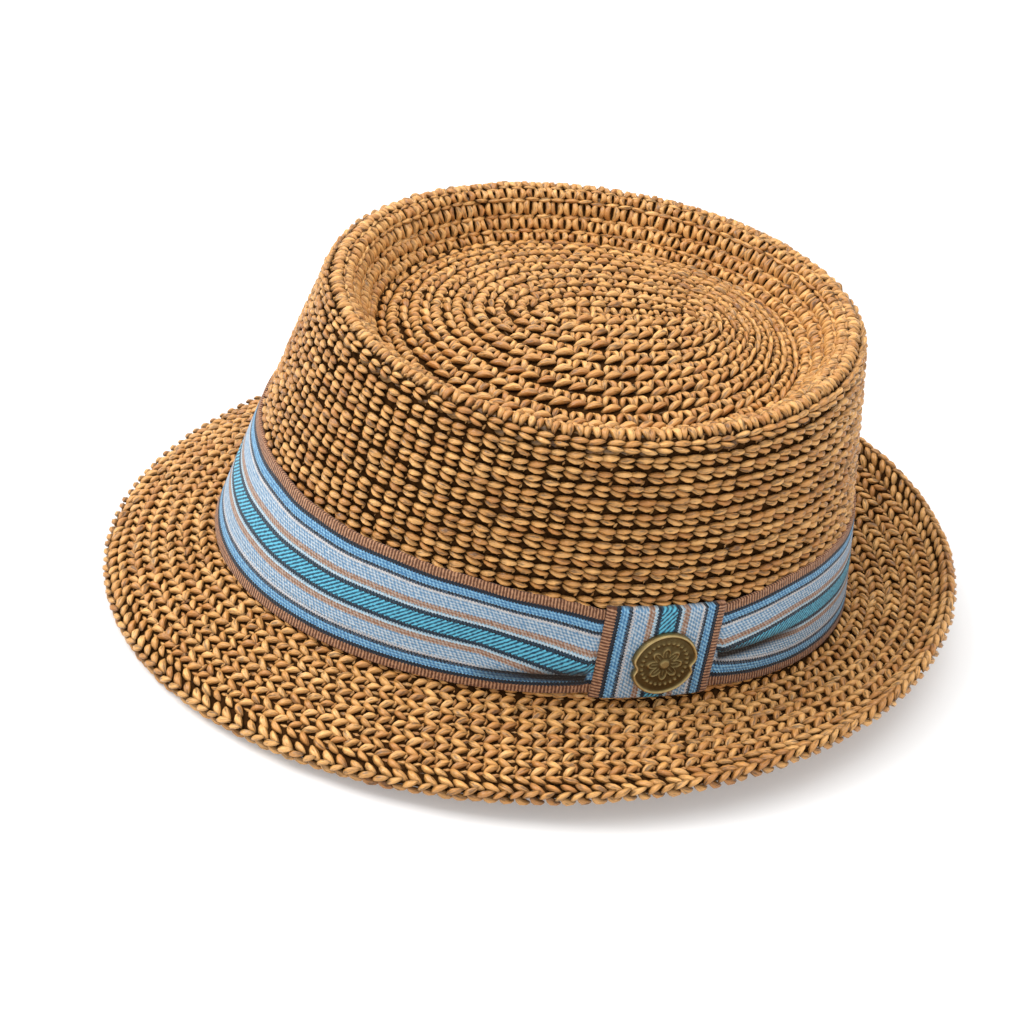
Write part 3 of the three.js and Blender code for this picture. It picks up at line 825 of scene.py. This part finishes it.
def bandMesh():
    count = bandDetail["columns"]
    way = 2 * np.arange(count) / count - 1
    angle = keeperMiddle + np.pi * mix(way ** 3, way, bandDetail["evenness"])
    low, high = bandEdges(angle)
    along = fromKeeper(angle)
    left, right = pleats
    # share of the way along each pleat, 0 at the keeper
    reachLeft = np.clip((-along - keeperHalf) / left["length"], 0, 1)
    reachRight = np.clip((along - keeperHalf) / right["length"], 0, 1)
    onLeft = along < 0
    reach = np.where(onLeft, reachLeft, reachRight)

    def ofSide(key):
        return np.where(onLeft, left[key], right[key])

    level = mix(ofSide("nearLevel"), ofSide("farLevel"), reach)
    level = mix(level, 0.33, smooth(np.abs(along), keeperHalf + 36, keeperHalf + 200))
    fade = (1 - reach) ** pleatLook["fade"]
    under = mix(level, ofSide("nearUnder"), fade)
    over = mix(level, ofSide("nearOver"), fade)
    opened = smooth(np.abs(along) - keeperHalf, 0.1, 1.5) * fade ** 0.6
    lift = pleatLook["lift"] * opened
    face = bandPlan["gap"] + bandPlan["thickness"]
    tall = high - low
    # each row of points: height, distance off the wall, place across the ribbon, and depth of the painted
    # shade
    rows = []
    line = low + tall * level
    for k in range(bandDetail["lower"] + 1):
        share = k / bandDetail["lower"]
        height = low + tall * level * share
        sag = pleatLook["sag"] * opened * np.sin(np.pi * share)
        # painted shade on the band just below a pleat, full near it and fading further down
        clear = smooth(line - height, pleatLook["shadeFull"], pleatLook["shadeReach"])
        shade = np.sqrt(opened) * (1 - clear)
        rows.append((height, face + sag, under * share, shade))
    # the ribbon tucked up behind a pleat and the pleat's turned lower edge, in painted shade
    deep = opened * pleatLook["tuck"] + 0.02
    rows.append((line + deep, face + 0.02 + 0 * line, under + 0.012, opened))
    rows.append((line + deep * 0.9, face + 0.35 * opened + 0.04, over - 0.02, opened))
    rows.append((line - deep * 0.45, face + 0.75 * lift + 0.05, over - 0.01, 0.7 * opened))
    for k in range(bandDetail["upper"] + 1):
        share = k / bandDetail["upper"]
        bulge = lift * np.cos(np.pi / 2 * np.clip(share / 0.55, 0, 1)) ** 1.3
        ripple = pleatLook["ripple"] * opened * np.sin(share * 15.0 + along * 0.06) * (1 - share)
        height = mix(line + 0.05, high, share)
        # painted shade on the pleat just above its lower edge
        shade = 0.75 * opened * (1 - smooth(height - line, 0.2, 2.4))
        rows.append((height, face + 0.06 + bulge + ripple, mix(over, 1.0, share), shade))
    wave = 0.25 * np.sin(angle * 9 + 1.3) + 0.15 * np.sin(angle * 23)
    points, uv, shades = [], [], []
    run = along / ribbonLook["width"]
    for height, off, across, depth in rows:
        share = (height - low) / tall
        points.append(wallPoint(angle, height + wave * np.clip(share, 0, 1), off))
        uv.append(np.stack([run, np.clip(across + 0 * run, 0.004, 0.996)], -1))
        shades.append(depth + 0 * run)
    for share in (1.0, 0.5, 0.0):
        points.append(wallPoint(angle, mix(low, high, share) + wave * share, bandPlan["gap"] + 0 * angle))
        uv.append(np.stack([run, np.clip(share + 0 * run, 0.004, 0.996)], -1))
        shades.append(0 * run)
    rings = len(points)
    points = np.concatenate(points)
    uv = np.concatenate(uv)
    faces, corners = [], []
    for j in range(rings):
        n = (j + 1) % rings
        for i in range(count):
            k = (i + 1) % count
            corner = (j * count + i, j * count + k, n * count + k, n * count + i)
            faces.append(corner)
            quad = uv[list(corner)].copy()
            if k == 0:
                quad[1:3, 0] = quad[0, 0] + (quad[0, 0] - uv[j * count + i - 1, 0])
            corners.append(quad)
    band = addMesh("ribbonBand", toFloor(points), faces, ribbon)
    layer = band.data.uv_layers.new(name="UVMap")
    layer.data.foreach_set("uv", np.concatenate(corners).astype(np.float32).ravel())
    values = np.concatenate(shades)
    band.data.attributes.new("foldShade", "FLOAT", "POINT").data.foreach_set("value", values)
    return band


def facingOut(item):
    volume = 0.0
    mesh = item.data
    mesh.calc_loop_triangles()
    for triangle in mesh.loop_triangles:
        a, b, c = (mesh.vertices[i].co for i in triangle.vertices)
        volume += a.dot(b.cross(c))
    if volume < 0:
        mesh.flip_normals()
    print(item.name, "closed volume", round(abs(volume) / 6 * 1e9), "cubic mm")


band = bandMesh()
facingOut(band)
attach(band, "root")
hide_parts("ribbon_band")
print("band made")


def keeperMesh():
    columns, steps = 48, 44
    half = np.linspace(-1, 1, columns + 1)
    foot, top = keeperPlan["foot"], keeperPlan["top"]
    inside = bandPlan["gap"] * 2 + bandPlan["thickness"]
    outside = inside + bandPlan["thickness"]
    edge = bandPlan["gap"]
    # outline of the section: distance off the wall and height, up the outside and down the inside
    outline = [(edge, foot), (outside - 0.9, foot + 0.02), (outside - 0.35, foot + 0.18)]
    outline += [(outside - 0.05, foot + 0.7)]
    outline += [(outside, foot + 1.2 + k / steps * (top - foot - 2.4)) for k in range(steps + 1)]
    outline += [(outside - 0.05, top - 0.7), (outside - 0.35, top - 0.18)]
    outline += [(outside - 0.9, top - 0.02), (edge, top)]
    outline += [(edge, top - 0.9), (inside, top - 1.0)]
    outline += [(inside, foot + 1.0), (edge, foot + 0.9)]
    points, uv = [], []
    for off, height in outline:
        wide = mix(keeperPlan["width"], keeperPlan["topWidth"], (height - foot) / (top - foot)) / 2
        angle = keeperMiddle + half * wide / ovalPull(keeperMiddle)
        rolled = np.where(off > inside, (off - inside) * (1 - 0.55 * np.abs(half) ** 14), off - inside)
        bow = 0.12 * np.cos(half * np.pi / 2)
        raised = inside + rolled + np.where(off > outside - 0.2, bow, 0)
        points.append(wallPoint(angle, height + 0 * half, raised))
        across = np.clip((half + 1) / 2, 0.004, 0.996)
        uv.append(np.stack([height / ribbonLook["width"] + 0 * half, across], -1))
    rings, count = len(points), columns + 1
    points = np.concatenate(points)
    uv = np.concatenate(uv)
    faces = []
    for j in range(rings):
        n = (j + 1) % rings
        for i in range(columns):
            faces.append((j * count + i, j * count + i + 1, n * count + i + 1, n * count + i))
    # side edges: the outside joined to the inside, level by level
    outer = list(range(0, 9 + steps))
    inner = [rings - 1, rings - 2, rings - 3, rings - 4]
    for i, flip in ((0, False), (columns, True)):
        loop = [j * count + i for j in outer] + [j * count + i for j in inner[::-1]]
        faces.append(tuple(loop[::-1] if flip else loop))
    keeper = addMesh("ribbonKeeper", toFloor(points), faces, ribbon)
    corner = np.zeros(len(keeper.data.loops), np.int32)
    keeper.data.loops.foreach_get("vertex_index", corner)
    layer = keeper.data.uv_layers.new(name="UVMap")
    layer.data.foreach_set("uv", uv[corner].astype(np.float32).ravel())
    return keeper


keeper = keeperMesh()
facingOut(keeper)
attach(keeper, "root")
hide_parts("ribbon_keeper")
print("keeper made")

# Badge of aged brass with a plain rosette
badgePlan = {
    "width": 20.7,
    "height": 20.6,
    "thickness": 1.2,
    "lip": 0.6,
    "rise": 15.2,
    "shift": 1.1,  # behind the keeper's middle
    "notch": 1.3,
    "notchLevel": -0.12,
    "notchSpan": 0.16,
    "relief": 0.45,  # a plain rosette inside a ring of beads
    "petals": 8,
    "beads": 28,
    "beadRing": 7.1,
}


def badgeMaterial():
    material, board, shader = newMaterial("agedBrass")
    worn = board.add("ShaderNodeAttribute", {"attribute_name": "worn"}).outputs["Fac"]
    place = board.add("ShaderNodeTexCoord").outputs["Object"]
    blotch = board.add("ShaderNodeTexNoise", Vector=place, Scale=420.0, Detail=4.0).outputs["Fac"]
    fine = board.add("ShaderNodeTexNoise", Vector=place, Scale=2600.0, Detail=3.0).outputs["Fac"]
    uneven = board.maths("MULTIPLY", board.maths("SUBTRACT", blotch, 0.5), 0.45)
    level = board.maths("ADD", worn, uneven, clamp=True)
    colour = board.ramp(level, ((0.0, (0.060, 0.040, 0.014)), (0.35, (0.135, 0.095, 0.034)),
                                (0.7, (0.330, 0.240, 0.095)), (1.0, (0.600, 0.460, 0.210))))
    board.put(shader.inputs["Base Color"], colour)
    shader.inputs["Metallic"].default_value = 0.85
    board.put(shader.inputs["Roughness"], board.maths("ADD", board.maths("MULTIPLY", fine, 0.22), 0.30))
    bump = board.add("ShaderNodeBump", Strength=0.35, Distance=0.00012, Height=fine)
    board.put(shader.inputs["Normal"], bump.outputs[0])
    return material


def badgeMesh():
    p = badgePlan
    count, rings = 168, 46
    phi = np.arange(count) / count * 2 * np.pi
    notch = p["notch"] * np.exp(-((np.sin(phi) - p["notchLevel"]) / p["notchSpan"]) ** 2)
    outX = (p["width"] / 2 - notch) * np.cos(phi)
    outY = p["height"] / 2 * np.sin(phi)
    edge = np.hypot(outX, outY)
    steps = [(0.0, 0.0), (0.0, p["thickness"] * 0.8), (0.12, p["thickness"] + 0.15)]
    points, worn = [], []
    for inset, depth in steps:
        points.append(np.stack([outX * (1 - inset / edge), outY * (1 - inset / edge), depth + 0 * phi], -1))
        worn.append(0.55 + 0 * phi)
    for j in range(rings):
        share = 1 - j / rings
        reach = (edge - 0.2) * share
        x, y = outX / edge * reach, outY / edge * reach
        inward = edge - reach
        lip = p["lip"] * np.exp(-((inward - 0.55) / 0.42) ** 4)
        radius = np.hypot(x, y)
        way = np.arctan2(y, x)
        beadWay = np.cos(way * p["beads"])
        beads = np.exp(-((radius - p["beadRing"]) / 0.42) ** 2) * np.clip(beadWay * 0.8 + 0.4, 0, 1)
        petal = 2.6 + 2.6 * np.abs(np.cos(way * p["petals"] / 2)) ** 0.8
        outline = np.exp(-((radius - petal) / 0.38) ** 2)
        rib = np.exp(-((np.sin(way * p["petals"] / 2) * radius) / 0.55) ** 2) * smooth(radius, 1.9, 2.4)
        rib = rib * (1 - smooth(radius, petal - 1.2, petal - 0.6))
        boss = 1 - smooth(radius, 1.2, 1.7)
        raised = np.clip(np.maximum.reduce([beads, outline, rib * 0.7, boss]), 0, 1)
        points.append(np.stack([x, y, p["thickness"] + lip + p["relief"] * raised], -1))
        worn.append(np.clip(0.22 + 0.75 * lip / p["lip"] + 0.5 * raised, 0, 1))
    rows = len(points)
    body = np.concatenate(points)
    faces = []
    for j in range(rows - 1):
        for i in range(count):
            k = (i + 1) % count
            faces.append((j * count + i, j * count + k, (j + 1) * count + k, (j + 1) * count + i))
    top = len(body)
    body = np.concatenate([body, [[0, 0, p["thickness"] + p["relief"]], [0, 0, 0]]])
    for i in range(count):
        k = (i + 1) % count
        faces.append((top, (rows - 1) * count + i, (rows - 1) * count + k))
        faces.append((top + 1, k, i))
    middle = np.array(keeperMiddle + p["shift"] / ovalPull(keeperMiddle))
    d = directions(middle)
    outside = bandPlan["gap"] * 2 + bandPlan["thickness"] * 2
    centre = wallPoint(middle, p["rise"], outside + bandPlan["gap"])
    side = unit(np.cross(d["wall"], d["wallOut"]))
    placed = centre + body[:, :1] * side + body[:, 1:2] * d["wall"] + body[:, 2:] * d["wallOut"]
    badge = addMesh("badgePlate", toFloor(placed), faces, badgeMaterial())
    values = np.concatenate(worn + [[0.6, 0.2]])
    badge.data.attributes.new("worn", "FLOAT", "POINT").data.foreach_set("value", values)
    return badge


badge = badgeMesh()
facingOut(badge)
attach(badge, "root")
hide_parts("badge")
print("badge made")

# Camera at the photo's angle, soft studio light and a pale floor
photoView = {
    "azimuth": 71.048,  # in the hat's own frame, from its front towards its left
    "elevation": 32.917,
    "roll": 12.196,
    "distance": 704.79,
    "frame": 1024,
    "focal": 2184.36,  # this and the shifts in pixels of that frame
    "shiftX": 25.404,
    "shiftY": 27.722,
}


def photoCamera():
    azimuth, elevation, roll = (math.radians(photoView[k]) for k in ("azimuth", "elevation", "roll"))
    back = Vector((math.sin(azimuth) * math.cos(elevation), -math.cos(azimuth) * math.cos(elevation),
                   math.sin(elevation)))
    right = Vector((math.cos(azimuth), math.sin(azimuth), 0))
    above = back.cross(right)
    turnedRight = right * math.cos(roll) + above * math.sin(roll)
    turnedUp = above * math.cos(roll) - right * math.sin(roll)
    axes = [Vector(turnToFloor(list(v))) for v in (turnedRight, turnedUp, back)]
    data = bpy.data.cameras.new("photoCamera")
    wide = photoView["frame"]
    data.sensor_width = 36.0
    data.lens = photoView["focal"] / wide * data.sensor_width
    data.shift_x = -photoView["shiftX"] / wide
    data.shift_y = photoView["shiftY"] / wide
    data.clip_start, data.clip_end = 0.01, 20
    camera = bpy.data.objects.new("photoCamera", data)
    scene.collection.objects.link(camera)
    place = Vector(toFloor(list(back * photoView["distance"])))
    camera.matrix_world = Matrix.Translation(place) @ Matrix(axes).transposed().to_4x4()
    scene.camera = camera


studio = {
    "world": 0.80,
    "floor": 0.66,
    "floorGlow": 0.26,  # lifts the shadows, as a bright studio table does
    "key": {"power": 15.5, "size": 0.95, "place": (-0.35, -0.85, 1.15)},
    "top": {"power": 10.0, "size": 1.2, "place": (0.05, 0.15, 1.40)},
    "fill": {"power": 0.3, "size": 0.9, "place": (1.00, -0.10, 0.60)},
}


def areaLight(name, power, size, place):
    data = bpy.data.lights.new(name, "AREA")
    data.energy = power
    data.size = size
    lamp = bpy.data.objects.new(name, data)
    scene.collection.objects.link(lamp)
    lamp.location = place
    lamp.rotation_euler = (Vector((0, 0, 0.05)) - Vector(place)).to_track_quat("-Z", "Y").to_euler()


def floorAndLight():
    material, board, shader = newMaterial("palePaper")
    shader.inputs["Base Color"].default_value = (studio["floor"],) * 3 + (1,)
    shader.inputs["Roughness"].default_value = 0.6
    shader.inputs["Emission Color"].default_value = (1, 1, 1, 1)
    shader.inputs["Emission Strength"].default_value = studio["floorGlow"]
    size = 20.0
    corners = [(-size, -size, 0), (size, -size, 0), (size, size, 0), (-size, size, 0)]
    floor = addMesh("floor", corners, [(0, 1, 2, 3)], material, False)
    world = bpy.data.worlds.new("studio")
    scene.world = world
    world.use_nodes = True
    ground = world.node_tree.nodes["Background"]
    ground.inputs["Color"].default_value = (1, 1, 1, 1)
    ground.inputs["Strength"].default_value = studio["world"]
    for name in ("key", "top", "fill"):
        areaLight(name, **studio[name])


photoCamera()
floorAndLight()
scene.view_settings.view_transform = "Standard"
print("camera, light and floor set")
